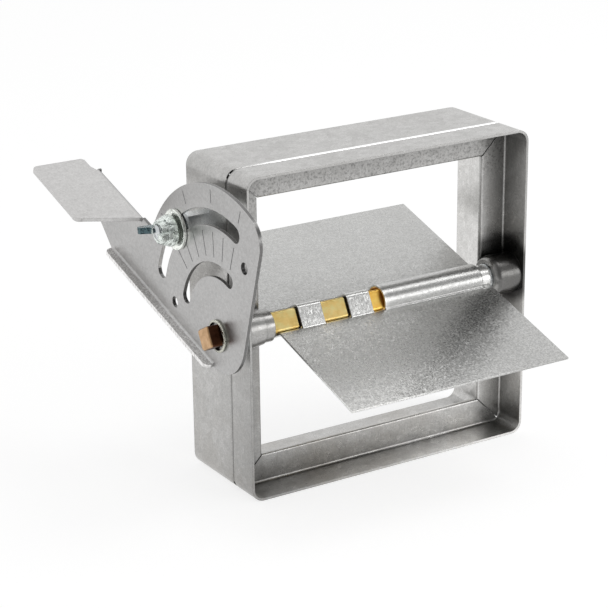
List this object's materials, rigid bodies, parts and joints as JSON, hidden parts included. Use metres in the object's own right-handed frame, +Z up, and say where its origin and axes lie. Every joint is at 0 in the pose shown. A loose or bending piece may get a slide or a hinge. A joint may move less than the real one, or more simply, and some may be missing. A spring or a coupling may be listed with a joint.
{
  "type": "balancing damper",
  "caption": "Square duct balancing damper: folded galvanised casing, tilting blade on a square bar, and a slotted lever quadrant locked by a wing nut.",
  "frame": {"origin": "centre of the casing's front opening, in the plane of its front edge", "axes": "+X along the bar towards the plain side, +Y through the casing from front to back, +Z up"},
  "size_m": [0.1576, 0.156, 0.125],
  "materials": {
    "galvanised_casing": "galvanised sheet with faint spangle",
    "galvanised_blade": "galvanised sheet, mottled",
    "yellow_zinc": "yellow passivated zinc on steel",
    "bright_zinc": "bright zinc plate",
    "galvanised_plate": "galvanised sheet, fine grain"
  },
  "bodies": {
    "casing_body": {"casing": "galvanised_casing", "locking_stud": "bright_zinc", "stud_nut": "bright_zinc", "back_washer": "bright_zinc", "flat_washer": "bright_zinc", "spring_washer": "bright_zinc"},
    "blade_and_handle": {"blade": "galvanised_blade", "square_bar": "yellow_zinc", "pivot_pin": "bright_zinc", "handle_plate": "galvanised_plate", "bar_spacer": "bright_zinc", "retaining_ring": "bright_zinc"},
    "wing_nut_body": {"wing_nut": "bright_zinc"}
  },
  "joints": [
    {"name": "blade_turn", "type": "hinge", "parent": "casing_body", "child": "blade_and_handle", "pos_m": [0, 0.0088, 0.0028], "axis": [1, 0, 0], "range_deg": [-59, 30.4]},
    {"name": "wing_nut_turn", "type": "hinge", "parent": "casing_body", "child": "wing_nut_body", "pos_m": [-0.073, 0.03784, 0.03586], "axis": [-1, 0, 0], "range_deg": [0, 360]}
  ]
}
